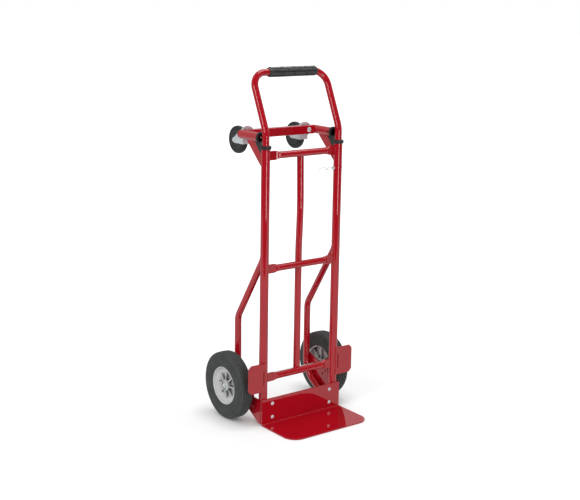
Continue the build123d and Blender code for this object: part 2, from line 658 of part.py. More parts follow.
def handle_tube():
    """Two straight legs, kinked back above the rails and joined by the grip bar."""
    points = [(-RAIL_X, 0, HANDLE_LEG_BOTTOM), handle_point(-RAIL_X, 0), handle_point(-RAIL_X, HANDLE_LENGTH),
              handle_point(RAIL_X, HANDLE_LENGTH), handle_point(RAIL_X, 0), (RAIL_X, 0, HANDLE_LEG_BOTTOM)]
    radii = [HANDLE_KINK_RADIUS, HANDLE_CORNER_RADIUS, HANDLE_CORNER_RADIUS, HANDLE_KINK_RADIUS]
    path = FilletPolyline(*points, radius=radii)
    body = tube(path, TUBE_R, TUBE_WALL)
    slot = PIN_D / 2 + SIDE_GAP
    body -= rod((RAIL_X - TUBE_OD, 0, PIN_Z), (RAIL_X + TUBE_OD, 0, PIN_Z), slot)
    body -= box_between((RAIL_X - TUBE_OD, -slot, HANDLE_LEG_BOTTOM - 5),
                        (RAIL_X + TUBE_OD, slot, PIN_Z))
    return body


def handle_grip(tube_solid):
    """A moulded sleeve of four lengths, each with a raised band, around the grip bar."""
    _, y, z = handle_point(0, HANDLE_LENGTH)
    end_x = GRIP_START_X + GRIP_SEGMENTS * GRIP_SEGMENT
    body = rod((GRIP_START_X, y, z), (end_x, y, z), GRIP_OD / 2)
    body = chamfer(body.edges().filter_by(GeomType.CIRCLE), 2)
    for index in range(1, GRIP_SEGMENTS):
        middle = GRIP_START_X + index * GRIP_SEGMENT
        ring = rod((middle - 1.2, y, z), (middle + 1.2, y, z), GRIP_OD / 2 + 1)
        body -= ring - rod((middle - 1.2, y, z), (middle + 1.2, y, z), GRIP_OD / 2 - 1)
    core = rod((-RAIL_X, y, z), (RAIL_X, y, z), TUBE_R - TUBE_WALL)
    body = body - tube_solid - core
    return max(body.solids(), key=lambda solid: solid.volume)


def hitch_pin():
    """The pin through the rail and the handle's leg, with its round head on the inner side."""
    head_x = RAIL_X - RAIL_R - PIN_HEAD_GAP
    shank = rod((head_x, 0, PIN_Z), (PIN_REACH, 0, PIN_Z), PIN_D / 2)
    tip = fillet(shank.edges().filter_by(GeomType.CIRCLE).sort_by(Axis.X)[-1], 2.5)
    head = rod((head_x - PIN_HEAD, 0, PIN_Z), (head_x, 0, PIN_Z), PIN_HEAD_RADIUS)
    head = fillet(head.edges().filter_by(GeomType.CIRCLE), 1)
    return tip + head


def pin_clip():
    """The spring wire that is bent back on itself from the pin's head, as a pull."""
    start = RAIL_X - RAIL_R - PIN_HEAD_GAP - PIN_HEAD
    end = start - CLIP_LENGTH
    low, high = PIN_Z - 3, PIN_Z + 3
    points = [(start, 0, low), (end, 0, low), (end, 0, high), (start - 40, 0, high + 3),
              (start - 27, 0, high - 3), (start - 14, 0, high + 4), (start - 7, 0, PIN_Z + 2),
              (start, 0, PIN_Z + 2)]
    path = FilletPolyline(*points, radius=[2.9, 2.9, 6, 6, 4, 3])
    return sweep((path ^ 0) * Circle(CLIP_WIRE / 2), path)


# ---------------------------------------------------------------- all nodes
crossbars = {name: crossbar(z) for name, z in CROSSBAR_Z.items()}
for level, bar in crossbars.items():
    keep(f"crossbar_{level}", bar)
keep("centre_bar", centre_bar(crossbars.values()))
keep("toe_plate", toe_plate())
keep("toe_bolts", toe_bolts())
keep("toe_nuts", toe_nuts())
keep("axle", axle())
keep("axle_spacers", axle_spacers())
keep("cotter_pins", cotter_pins())
keep("caster_beam", caster_beam())
handle = handle_tube()
keep("handle_tube", handle)
keep("handle_grip", handle_grip(handle))
keep("hitch_pin", hitch_pin())
keep("pin_clip", pin_clip())
for hand, side in SIDES.items():
    rear = side_tube(side)
    keep(f"rail_{hand}", rail(side))
    keep(f"side_tube_{hand}", rear)
    keep(f"axle_plate_{hand}", axle_plate(side, rear))
    keep(f"toe_bracket_{hand}", toe_bracket(side))
    for name, make in (("wheel_guard", wheel_guard), ("tyre", tyre), ("wheel_hub", wheel_hub),
                       ("wheel_bearings", wheel_bearings), ("axle_washer", axle_washer),
                       ("rail_collar", rail_collar),
                       ("socket_arm", socket_arm), ("socket_bushing", socket_bushing), ("gusset", gusset),
                       ("kingpin", kingpin), ("caster_race", caster_race),
                       ("caster_bearing", caster_bearing), ("caster_fork", caster_fork),
                       ("caster_axle", caster_axle), ("caster_tyre", caster_tyre),
                       ("caster_hub", caster_hub)):
        keep(f"{name}_{hand}", make(side))

os.makedirs("parts", exist_ok=True)
for name, shape in nodes.items():
    export_step(shape, f"parts/{name}.step")
print(len(nodes), "nodes")
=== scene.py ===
"""The looks of a convertible hand truck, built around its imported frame.

Metres, Z up, X across the truck and +Y behind it. Places come from the frame's own boxes; the small
sizes of mouldings, welds and edges are named in millimetres and scaled by MM.
"""
import json
import math

import bmesh
import bpy
from mathutils import Matrix, Vector


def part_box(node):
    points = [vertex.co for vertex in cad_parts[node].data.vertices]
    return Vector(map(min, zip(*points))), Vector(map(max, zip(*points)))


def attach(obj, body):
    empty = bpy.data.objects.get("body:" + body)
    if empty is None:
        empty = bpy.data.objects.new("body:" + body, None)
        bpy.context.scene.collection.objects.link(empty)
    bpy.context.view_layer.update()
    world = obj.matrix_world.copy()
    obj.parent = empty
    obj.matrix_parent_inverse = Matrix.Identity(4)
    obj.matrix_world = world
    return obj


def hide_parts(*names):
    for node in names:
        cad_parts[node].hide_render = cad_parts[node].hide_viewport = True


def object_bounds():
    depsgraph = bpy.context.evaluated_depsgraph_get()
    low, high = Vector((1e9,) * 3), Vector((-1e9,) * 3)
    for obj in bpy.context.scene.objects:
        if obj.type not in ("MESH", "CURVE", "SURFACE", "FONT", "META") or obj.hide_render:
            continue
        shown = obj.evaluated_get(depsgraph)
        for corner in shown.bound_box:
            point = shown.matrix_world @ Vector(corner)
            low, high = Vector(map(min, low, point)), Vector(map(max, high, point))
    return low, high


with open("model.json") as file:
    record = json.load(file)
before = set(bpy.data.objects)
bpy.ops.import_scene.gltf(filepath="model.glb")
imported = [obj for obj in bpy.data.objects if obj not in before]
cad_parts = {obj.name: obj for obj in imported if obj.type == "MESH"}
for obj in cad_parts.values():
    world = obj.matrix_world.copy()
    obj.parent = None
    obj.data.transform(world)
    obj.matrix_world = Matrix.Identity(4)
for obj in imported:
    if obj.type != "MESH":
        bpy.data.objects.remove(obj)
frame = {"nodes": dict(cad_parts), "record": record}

CAD_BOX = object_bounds()
MM = 0.001
SIDES = {"left": -1, "right": 1}


# ---------------------------------------------------------------- camera
CAMERA_TARGET = Vector((-0.05029, -0.0314, 0.64572))
CAMERA_DISTANCE = 4.148
CAMERA_AZIMUTH = math.radians(-37.438)
CAMERA_ELEVATION = math.radians(12.943)
CAMERA_ROLL = math.radians(0.944)
CAMERA_LENS = 70.78
CAMERA_SENSOR = 36.0


def camera_axes():
    """The camera's right, up and backward directions."""
    a, e, roll = CAMERA_AZIMUTH, CAMERA_ELEVATION, CAMERA_ROLL
    back = Vector((math.sin(a) * math.cos(e), -math.cos(a) * math.cos(e), math.sin(e)))
    level = Vector((math.cos(a), math.sin(a), 0))
    upright = back.cross(level)
    right = level * math.cos(roll) + upright * math.sin(roll)
    up = upright * math.cos(roll) - level * math.sin(roll)
    return right, up, back


def make_camera():
    right, up, back = camera_axes()
    data = bpy.data.cameras.new("camera")
    data.lens = CAMERA_LENS
    data.sensor_width = CAMERA_SENSOR
    camera = bpy.data.objects.new("camera", data)
    bpy.context.scene.collection.objects.link(camera)
    turn = Matrix((right, up, back)).transposed().to_4x4()
    camera.matrix_world = Matrix.Translation(CAMERA_TARGET + back * CAMERA_DISTANCE) @ turn
    bpy.context.scene.camera = camera


# ---------------------------------------------------------------- studio
FLOOR_HALF = 30.0
FLOOR_COLOUR = (0.6, 0.6, 0.6)
FLOOR_GLOW = 0.60
FLOOR_GLOW_FAR = 1.1
GLOW_REACH = (0.4, 1.4)
# Reach of the floor's painted contact shadow.
CONTACT_REACH = 0.09
PAPER_FRONT = 2.3
PAPER_BACK = 6.0
PAPER_HALF = 4.0
WHITE = (1.0, 1.0, 1.0, 1.0)
EVEN_LIGHT = 0.5
ROOM_FRONT = 0.10
ROOM_BEHIND = 0.75


def plain_material(name, colour, glow):
    """A matt surface with a little light of its own."""
    made = bpy.data.materials.new(name)
    made.use_nodes = True
    shader = made.node_tree.nodes["Principled BSDF"]
    shader.inputs["Base Color"].default_value = (*colour, 1)
    shader.inputs["Roughness"].default_value = 0.9
    shader.inputs["Specular IOR Level"].default_value = 0.0
    shader.inputs["Emission Color"].default_value = WHITE
    shader.inputs["Emission Strength"].default_value = glow
    return made


def flat_sheet(name, corners, surface):
    mesh = bpy.data.meshes.new(name)
    mesh.from_pydata([tuple(c) for c in corners], [], [(0, 1, 2, 3)])
    mesh.materials.append(surface)
    sheet = bpy.data.objects.new(name, mesh)
    bpy.context.scene.collection.objects.link(sheet)
    return sheet


def brighten_outwards(surface):
    """Makes a floor's painted glow grow with the distance from the truck and fade where things touch it, a
    painted contact shadow.
    """
    tree = surface.node_tree
    place = tree.nodes.new("ShaderNodeTexCoord")
    distance = tree.nodes.new("ShaderNodeVectorMath")
    distance.operation = "LENGTH"
    tree.links.new(place.outputs["Object"], distance.inputs[0])
    glow = tree.nodes.new("ShaderNodeMapRange")
    glow.interpolation_type = "SMOOTHSTEP"
    glow.inputs["From Min"].default_value, glow.inputs["From Max"].default_value = GLOW_REACH
    glow.inputs["To Min"].default_value = FLOOR_GLOW
    glow.inputs["To Max"].default_value = FLOOR_GLOW_FAR
    tree.links.new(distance.outputs["Value"], glow.inputs["Value"])
    # Painted contact shadow: ambient occlusion dims the floor's glow next to the parts that stand on it.
    contact = tree.nodes.new("ShaderNodeAmbientOcclusion")
    contact.inputs["Distance"].default_value = CONTACT_REACH
    shaded = tree.nodes.new("ShaderNodeMath")
    shaded.operation = "MULTIPLY"
    tree.links.new(glow.outputs["Result"], shaded.inputs[0])
    tree.links.new(contact.outputs["AO"], shaded.inputs[1])
    tree.links.new(shaded.outputs["Value"], tree.nodes["Principled BSDF"].inputs["Emission Strength"])


def make_floor():
    """A pale floor, and a sheet of paper on it that only polished surfaces see."""
    half = FLOOR_HALF
    corners = [(-half, -half, 0), (half, -half, 0), (half, half, 0), (-half, half, 0)]
    floor = flat_sheet("floor", corners, plain_material("floor_matt", FLOOR_COLOUR, FLOOR_GLOW))
    brighten_outwards(floor.data.materials[0])
    floor.visible_glossy = False
    floor.visible_diffuse = False
    ahead = Vector((math.sin(CAMERA_AZIMUTH), -math.cos(CAMERA_AZIMUTH), 0))
    across = Vector((math.cos(CAMERA_AZIMUTH), math.sin(CAMERA_AZIMUTH), 0))
    edges = [ahead * PAPER_FRONT - across * PAPER_HALF, ahead * PAPER_FRONT + across * PAPER_HALF,
             -ahead * PAPER_BACK + across * PAPER_HALF, -ahead * PAPER_BACK - across * PAPER_HALF]
    paper = flat_sheet("paper", edges, plain_material("paper_matt", FLOOR_COLOUR, FLOOR_GLOW))
    paper.visible_camera = False
    paper.visible_diffuse = False
    paper.visible_shadow = False


def make_world():
    """Even light on matt surfaces; polished ones see a white backdrop and a darker room in front."""
    world = bpy.data.worlds.new("studio")
    world.use_nodes = True
    tree = world.node_tree
    tree.nodes.clear()
    place = tree.nodes.new("ShaderNodeTexCoord")
    toward = tree.nodes.new("ShaderNodeVectorMath")
    toward.operation = "DOT_PRODUCT"
    toward.inputs[1].default_value = (math.sin(CAMERA_AZIMUTH), -math.cos(CAMERA_AZIMUTH), 0.0)
    tree.links.new(place.outputs["Generated"], toward.inputs[0])
    room = tree.nodes.new("ShaderNodeMapRange")
    room.interpolation_type = "SMOOTHSTEP"
    room.inputs["From Min"].default_value = -0.35
    room.inputs["From Max"].default_value = 0.25
    room.inputs["To Min"].default_value = ROOM_BEHIND
    room.inputs["To Max"].default_value = ROOM_FRONT
    tree.links.new(toward.outputs["Value"], room.inputs["Value"])
    polished = tree.nodes.new("ShaderNodeBackground")
    tree.links.new(room.outputs["Result"], polished.inputs["Strength"])
    even = tree.nodes.new("ShaderNodeBackground")
    even.inputs["Strength"].default_value = EVEN_LIGHT
    backdrop = tree.nodes.new("ShaderNodeBackground")
    backdrop.inputs["Color"].default_value = WHITE
    rays = tree.nodes.new("ShaderNodeLightPath")
    lit = tree.nodes.new("ShaderNodeMixShader")
    tree.links.new(rays.outputs["Is Glossy Ray"], lit.inputs["Fac"])
    tree.links.new(even.outputs["Background"], lit.inputs[1])
    tree.links.new(polished.outputs["Background"], lit.inputs[2])
    seen = tree.nodes.new("ShaderNodeMixShader")
    tree.links.new(rays.outputs["Is Camera Ray"], seen.inputs["Fac"])
    tree.links.new(lit.outputs["Shader"], seen.inputs[1])
    tree.links.new(backdrop.outputs["Background"], seen.inputs[2])
    out = tree.nodes.new("ShaderNodeOutputWorld")
    tree.links.new(seen.outputs["Shader"], out.inputs["Surface"])
    bpy.context.scene.world = world


def softbox(name, place, target, width, height, power):
    data = bpy.data.lights.new(name, "AREA")
    data.shape = "RECTANGLE"
    data.size = width
    data.size_y = height
    data.energy = power
    box = bpy.data.objects.new(name, data)
    bpy.context.scene.collection.objects.link(box)
    box.location = place
    box.rotation_euler = (Vector(target) - Vector(place)).to_track_quat("-Z", "Y").to_euler()
    box.visible_camera = False


def make_lights():
    middle = (CAD_BOX[0] + CAD_BOX[1]) / 2
    softbox("softbox_left", (-3.2, -0.9, 2.3), middle, 1.2, 2.0, 36)
    softbox("softbox_front", (-0.55, -3.35, 0.6), (0, 0, 0.6), 0.9, 1.0, 17)
    softbox("softbox_top", (1.0, 0.2, 3.4), middle, 2.4, 1.6, 29)


def make_view():
    settings = bpy.context.scene.view_settings
    settings.view_transform = "Standard"
    settings.look = "None"


# ---------------------------------------------------------------- materials
def start_material(name, colour, roughness, metallic=0.0, specular=0.5):
    made = bpy.data.materials.new(name)
    made.use_nodes = True
    made.diffuse_color = (*colour, 1)
    shader = made.node_tree.nodes["Principled BSDF"]
    shader.inputs["Base Color"].default_value = (*colour, 1)
    shader.inputs["Roughness"].default_value = roughness
    shader.inputs["Metallic"].default_value = metallic
    shader.inputs["Specular IOR Level"].default_value = specular
    return made


def noise_pattern(made, scale, detail=3.0, roughness=0.55, stretch=(1, 1, 1)):
    """A noise field in the piece's own space; scale is in cells per metre."""
    tree = made.node_tree
    place = tree.nodes.new("ShaderNodeTexCoord")
    mapping = tree.nodes.new("ShaderNodeMapping")
    mapping.inputs["Scale"].default_value = stretch
    field = tree.nodes.new("ShaderNodeTexNoise")
    field.inputs["Scale"].default_value = scale
    field.inputs["Detail"].default_value = detail
    field.inputs["Roughness"].default_value = roughness
    tree.links.new(place.outputs["Object"], mapping.inputs["Vector"])
    tree.links.new(mapping.outputs["Vector"], field.inputs["Vector"])
    return field.outputs["Fac"]


def ranged(made, source, low, high, start=0.3, end=0.7):
    """Maps a pattern's middle range to values between low and high."""
    tree = made.node_tree
    node = tree.nodes.new("ShaderNodeMapRange")
    node.inputs["From Min"].default_value = start
    node.inputs["From Max"].default_value = end
    node.inputs["To Min"].default_value = low
    node.inputs["To Max"].default_value = high
    tree.links.new(source, node.inputs["Value"])
    return node.outputs["Result"]


def blend_colours(made, share, first, second):
    """A colour between two: plain triples, or the output of another blend."""
    tree = made.node_tree
    mix = tree.nodes.new("ShaderNodeMix")
    mix.data_type = "RGBA"
    for socket, value in ((mix.inputs["A"], first), (mix.inputs["B"], second)):
        if isinstance(value, tuple):
            socket.default_value = (*value, 1)
        else:
            tree.links.new(value, socket)
    tree.links.new(share, mix.inputs["Factor"])
    return mix.outputs["Result"]


def feed(made, socket, source):
    shader = made.node_tree.nodes["Principled BSDF"]
    made.node_tree.links.new(source, shader.inputs[socket])


def bumped(made, height, strength, depth, below=None):
    tree = made.node_tree
    bump = tree.nodes.new("ShaderNodeBump")
    bump.inputs["Strength"].default_value = strength
    bump.inputs["Distance"].default_value = depth
    tree.links.new(height, bump.inputs["Height"])
    if below:
        tree.links.new(below, bump.inputs["Normal"])
    return bump.outputs["Normal"]


def painted_recess_shade(made, reach, darkest, start=0.35, end=0.95):
    """How deep in a recess a surface lies: painted shade darkens it there."""
    shade = made.node_tree.nodes.new("ShaderNodeAmbientOcclusion")
    shade.inputs["Distance"].default_value = reach
    return ranged(made, shade.outputs["AO"], darkest, 0.0, start, end)


def upward_share(made, low, high):
    """How far a surface faces up: dust and painted top light go there."""
    tree = made.node_tree
    geometry = tree.nodes.new("ShaderNodeNewGeometry")
    split = tree.nodes.new("ShaderNodeSeparateXYZ")
    tree.links.new(geometry.outputs["Normal"], split.inputs["Vector"])
    return ranged(made, split.outputs["Z"], low, high, 0.2, 1.0)


def red_paint():
    """Glossy enamel: a deep red coat with a faint orange-peel surface."""
    made = start_material("red_paint_enamel", (0.57, 0.005, 0.016), 0.5, specular=0.0)
    tone = ranged(made, noise_pattern(made, 9, 2), 0.0, 1.0)
    fine = ranged(made, noise_pattern(made, 900, 2), 0.0, 0.35)
    colour = blend_colours(made, tone, (0.60, 0.0055, 0.018), (0.53, 0.0045, 0.0145))
    colour = blend_colours(made, fine, colour, (0.56, 0.007, 0.018))
    feed(made, "Base Color", colour)
    shader = made.node_tree.nodes["Principled BSDF"]
    shader.inputs["Coat Weight"].default_value = 1.0
    shader.inputs["Coat Roughness"].default_value = 0.03
    shader.inputs["Coat IOR"].default_value = 1.6
    peel = bumped(made, noise_pattern(made, 260, 2), 0.05, 0.3 * MM)
    feed(made, "Coat Normal", peel)
    feed(made, "Normal", peel)
    return made


def zinc_steel():
    """Bright blue-white zinc plate: slow tone changes, soft brushing and small dull spots."""
    made = start_material("zinc_steel_plate", (0.88, 0.93, 0.95), 0.38, metallic=0.3)
    tone = ranged(made, noise_pattern(made, 70, 3), 0.0, 1.0)
    feed(made, "Base Color", blend_colours(made, tone, (0.91, 0.96, 0.98), (0.80, 0.86, 0.88)))
    feed(made, "Roughness", ranged(made, noise_pattern(made, 90, 3), 0.32, 0.5))
    brushing = bumped(made, noise_pattern(made, 300, 2, stretch=(0.06, 1, 1)), 0.04, 0.1 * MM)
    feed(made, "Normal", brushing)
    return made


# Upward faces are lightened towards this colour: light dust, and on the grip mostly a painted top light.
DUST_AND_TOP_LIGHT_COLOUR = (0.33, 0.32, 0.30)
ROUGHNESS_SPREAD = 0.08
# Painted shade: ambient occlusion within this reach darkens recesses towards this near-black colour.
PAINTED_SHADE_REACH = 26 * MM
PAINTED_SHADE_COLOUR = (0.035, 0.037, 0.036)


def moulded(name, dark, light, roughness, grain, depth, dust_and_top_light=0.0, painted_shade=0.0):
    """A moulded plastic or rubber: grain, slow tone changes, dust and painted top light on upward faces, and
    painted shade in recesses.
    """
    made = start_material(name, dark, roughness, specular=0.4)
    tone = ranged(made, noise_pattern(made, 25, 3), 0.0, 1.0)
    colour = blend_colours(made, tone, dark, light)
    if dust_and_top_light:
        # Upward faces lighten: dust, and where the share is large a painted top light.
        dust_and_top_light_share = made.node_tree.nodes.new("ShaderNodeMath")
        dust_and_top_light_share.operation = "MULTIPLY"
        made.node_tree.links.new(upward_share(made, 0.0, dust_and_top_light), dust_and_top_light_share.inputs[0])
        made.node_tree.links.new(noise_pattern(made, 90, 5), dust_and_top_light_share.inputs[1])
        colour = blend_colours(made, dust_and_top_light_share.outputs["Value"], colour, DUST_AND_TOP_LIGHT_COLOUR)
    if painted_shade:
        # Painted shade: recesses found by ambient occlusion are darkened, standing in for the shade that
        # falls there.
        colour = blend_colours(made, painted_recess_shade(made, PAINTED_SHADE_REACH, painted_shade), colour, PAINTED_SHADE_COLOUR)
    feed(made, "Base Color", colour)
    dullness = noise_pattern(made, 140, 3)
    smoothest, roughest = roughness - ROUGHNESS_SPREAD, roughness + ROUGHNESS_SPREAD
    feed(made, "Roughness", ranged(made, dullness, smoothest, roughest))
    feed(made, "Normal", bumped(made, noise_pattern(made, grain, 3, 0.6), 0.35, depth))
    return made


MATERIALS = {
    "red_paint": red_paint(),
    "zinc_steel": zinc_steel(),
    "black_plastic": moulded("black_plastic_moulded", (0.018, 0.020, 0.020), (0.032, 0.036, 0.036),
                             0.42, 900, 0.15 * MM, dust_and_top_light=0.1),
    # On the grip, the upward lightening is mostly painted top light and the darkened grooves are painted
    # shade.
    "grip_rubber": moulded("grip_rubber_moulded", (0.045, 0.049, 0.049), (0.068, 0.073, 0.072),
                           0.28, 800, 0.12 * MM, dust_and_top_light=1.0, painted_shade=0.8),
    "tyre_rubber": moulded("tyre_rubber_moulded", (0.062, 0.069, 0.067), (0.086, 0.094, 0.091),
                           0.72, 420, 0.3 * MM, dust_and_top_light=0.12),
    # On the hub, painted shade darkens the rib pockets and the deep dish.
    "hub_plastic": moulded("hub_plastic_moulded", (0.86, 0.87, 0.86), (0.92, 0.93, 0.92),
                           0.38, 600, 0.08 * MM, painted_shade=0.9),
    "caster_rubber": moulded("caster_rubber_moulded", (0.022, 0.025, 0.025), (0.036, 0.040, 0.039),
                             0.58, 600, 0.2 * MM, dust_and_top_light=0.12),
    "caster_core": moulded("caster_core_moulded", (0.055, 0.060, 0.062), (0.085, 0.092, 0.094),
                           0.48, 700, 0.1 * MM),
}


def paint_cad_nodes():
    """Every CAD node takes the finish of its own slot."""
    for part in frame["record"]["subparts"]:
        surface = MATERIALS[part["material_slot"]]
        for holder in frame["nodes"][part["node"]].material_slots:
            holder.material = surface


# ---------------------------------------------------------------- mesh tools
def smoothstep(value, low, high):
    t = min(1.0, max(0.0, (value - low) / (high - low)))
    return t * t * (3 - 2 * t)


def finish_piece(name, bm, slot, body, replaced=(), sharp=40):
    """Turns a bmesh into a shown piece that rides on a body and takes a slot's finish."""
    bmesh.ops.remove_doubles(bm, verts=bm.verts, dist=1e-6)
    bmesh.ops.recalc_face_normals(bm, faces=bm.faces)
    mesh = bpy.data.meshes.new(name)
    bm.to_mesh(mesh)
    bm.free()
    mesh.materials.append(MATERIALS[slot])
    mesh.polygons.foreach_set("use_smooth", [True] * len(mesh.polygons))
    mesh.set_sharp_from_angle(angle=math.radians(sharp))
    piece = bpy.data.objects.new(name, mesh)
    bpy.context.scene.collection.objects.link(piece)
    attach(piece, body)
    if replaced:
        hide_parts(*replaced)
    return piece


def skin_rows(bm, rows, closed_rows=False, closed_across=True):
    """Faces between rows of points; each row is a ring unless closed_across is false."""
    grid = [[bm.verts.new(p) for p in row] for row in rows]
    count = len(grid[0])
    last_row = len(grid) if closed_rows else len(grid) - 1
    last_point = count if closed_across else count - 1
    for i in range(last_row):
        here, there = grid[i], grid[(i + 1) % len(grid)]
        for k in range(last_point):
            nxt = (k + 1) % count
            bm.faces.new((here[k], here[nxt], there[nxt], there[k]))
    return grid


def rounded_outline(points, radius, steps=4):
    """A closed outline with each corner replaced by a short curve; radius may be one per corner."""
    count = len(points)
    radii = radius if isinstance(radius, (list, tuple)) else [radius] * count
    smooth = []
    for i, corner in enumerate(points):
        corner = Vector(corner)
        before, after = Vector(points[i - 1]) - corner, Vector(points[(i + 1) % count]) - corner
        reach = min(radii[i], before.length * 0.45, after.length * 0.45)
        if reach <= 0:
            smooth.append(corner)
            continue
        start, end = corner + before.normalized() * reach, corner + after.normalized() * reach
        for k in range(steps + 1):
            t = k / steps
            smooth.append(start * (1 - t) ** 2 + corner * 2 * t * (1 - t) + end * t * t)
    return smooth


def lathe(bm, profile, centre, side, segments):
    """Turns a closed outline of (along, radius) points in millimetres about an X axis."""
    rows = []
    for along, radius in profile:
        ring = []
        for k in range(segments):
            turn = 2 * math.pi * k / segments
            offset = Vector((side * along, radius * math.cos(turn), radius * math.sin(turn)))
            ring.append(centre + offset * MM)
        rows.append(ring)
    skin_rows(bm, rows, closed_rows=True)


def box_middle(node):
    low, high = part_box(node)
    return (low + high) / 2


def box_size(node):
    low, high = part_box(node)
    return (high - low) / MM


# ---------------------------------------------------------------- plates with rounded edges
FLAT_ENOUGH = math.radians(1.0)
EDGE_ANGLE = math.radians(35)
EDGE_STEPS = 2
EDGED_NODES = {
    "toe_plate": 1.0, "caster_beam": 0.8, "wheel_guard_left": 0.7, "wheel_guard_right": 0.7,
    "gusset_left": 0.8, "gusset_right": 0.8, "axle_plate_left": 0.8, "axle_plate_right": 0.8,
    "toe_bracket_left": 0.7, "toe_bracket_right": 0.7, "caster_fork_left": 0.5, "caster_fork_right": 0.5,
}


def body_of(node):
    bodies = frame["record"]["behaviour"]["bodies"]
    return next(body for body, nodes in bodies.items() if node in nodes)


def slot_of(node):
    return next(p["material_slot"] for p in frame["record"]["subparts"] if p["node"] == node)


def round_edges(node, width):
    """A copy of a sheared or cast part with its sharp edges broken, in place of the CAD node."""
    bm = bmesh.new()
    bm.from_mesh(frame["nodes"][node].data)
    bmesh.ops.remove_doubles(bm, verts=bm.verts, dist=0.002 * MM)
    bmesh.ops.dissolve_limit(bm, angle_limit=FLAT_ENOUGH, verts=bm.verts, edges=bm.edges)
    sharp = [e for e in bm.edges if e.is_manifold and e.calc_face_angle(0) > EDGE_ANGLE]
    bmesh.ops.bevel(bm, geom=sharp, offset=width * MM, offset_type="OFFSET", segments=EDGE_STEPS,
                    profile=0.5, affect="EDGES", clamp_overlap=True)
    piece = finish_piece(f"{node}_edged", bm, slot_of(node), body_of(node), [node], 50)
    weigh = piece.modifiers.new("flat_faces", "WEIGHTED_NORMAL")
    weigh.keep_sharp = True
    weigh.weight = 100


# ---------------------------------------------------------------- main wheels
TYRE_SEGMENTS = 168
TREAD_GROOVES = (-15.0, -5.0, 5.0, 15.0)
GROOVE_WIDTH = 3.4
GROOVE_DEPTH = 3.0
BEAD_RADIUS = 72.5


def tyre_profile(radius, half):
    """The outline of a solid tyre: bead, ringed sidewall, round shoulder and grooved tread."""
    wall = [(22, BEAD_RADIUS), (24.0, BEAD_RADIUS + 0.6), (25.6, BEAD_RADIUS + 3), (26.2, BEAD_RADIUS + 5.4),
            (25.4, BEAD_RADIUS + 6.2), (26.6, BEAD_RADIUS + 7.4), (half - 0.9, BEAD_RADIUS + 14),
            (half - 0.2, BEAD_RADIUS + 22), (half - 0.3, radius - 24), (half - 1.1, radius - 19.6),
            (half - 2.2, radius - 19.0), (half - 2.4, radius - 18.0), (half - 1.6, radius - 17.2),
            (half - 2.6, radius - 12.5), (half - 4.6, radius - 7.4), (half - 7.0, radius - 3.6)]
    tread = [(21.0, radius - 1.9), (19.0, radius - 1.1)]
    for middle in reversed(TREAD_GROOVES):
        crown = radius - 0.0032 * middle * middle
        tread += [(middle + GROOVE_WIDTH / 2, crown), (middle + GROOVE_WIDTH / 2 - 0.7, crown - GROOVE_DEPTH),
                  (middle - GROOVE_WIDTH / 2 + 0.7, crown - GROOVE_DEPTH), (middle - GROOVE_WIDTH / 2, crown)]
    tread += [(-19.0, radius - 1.1), (-21.0, radius - 1.9)]
    other = [(-along, r) for along, r in reversed(wall)]
    return rounded_outline(wall + tread + other, 0.9, 2)


def make_tyre(hand, side):
    node = f"tyre_{hand}"
    size = box_size(node)
    bm = bmesh.new()
    lathe(bm, tyre_profile(size.z / 2, size.x / 2), box_middle(node), side, TYRE_SEGMENTS)
    finish_piece(f"tyre_{hand}_moulded", bm, "tyre_rubber", f"wheel_{hand}", [node], 35)


HUB_RIBS = 8
RIB_HALF = 1.9
RIB_EDGE = 0.7
HUB_STEPS = 5
BEARING_SEAT = 13.05
AXLE_CLEAR = 9.5
# Each row is (radius, depth between the ribs, depth on the ribs), from the outer bearing seat over
# the boss and the dish to the rim, then back over the inner face. Depth is towards the outside.
HUB_ROWS = [
    (BEARING_SEAT, 2.9, 2.9), (BEARING_SEAT, 12.5, 12.5), (13.6, 13.0, 13.0), (16.3, 13.0, 13.0),
    (16.8, 13.4, 13.4), (16.8, 18.4, 18.4), (17.3, 19.0, 19.0), (19.9, 19.0, 19.0), (20.5, 18.3, 18.3),
    (20.7, 13.6, 14.8), (21.0, 5.0, 14.4), (22.4, 3.4, 14.0), (30.0, 3.2, 13.0), (38.0, 3.4, 12.0),
    (44.0, 4.6, 11.2), (48.0, 7.0, 10.7), (51.0, 8.8, 10.4), (54.0, 9.8, 10.4), (57.0, 10.4, 10.6),
    (61.0, 11.8, 11.8), (64.5, 14.0, 14.0), (66.4, 16.4, 16.4), (67.3, 19.2, 19.2), (67.9, 21.6, 21.6),
    (69.0, 22.7, 22.7), (70.6, 22.9, 22.9), (71.9, 22.2, 22.2), (72.4, 20.8, 20.8),
    (72.4, -20.8, -20.8), (71.9, -22.2, -22.2), (70.6, -22.9, -22.9), (69.0, -22.7, -22.7),
    (67.9, -21.6, -21.6), (67.4, -18.0, -18.0), (67.1, -15.0, -15.2), (66.6, -7.0, -14.4),
    (65.0, -3.8, -14.2), (60.0, -3.1, -14.0), (45.0, -3.0, -13.6), (30.0, -3.0, -13.4),
    (20.6, -3.4, -13.4), (19.4, -5.0, -13.6), (19.0, -14.0, -15.0), (18.6, -21.2, -21.2),
    (17.9, -21.9, -21.9), (13.6, -21.9, -21.9), (BEARING_SEAT, -21.4, -21.4),
    (BEARING_SEAT, -11.9, -11.9), (AXLE_CLEAR, -11.9, -11.9), (AXLE_CLEAR, 2.9, 2.9),
]


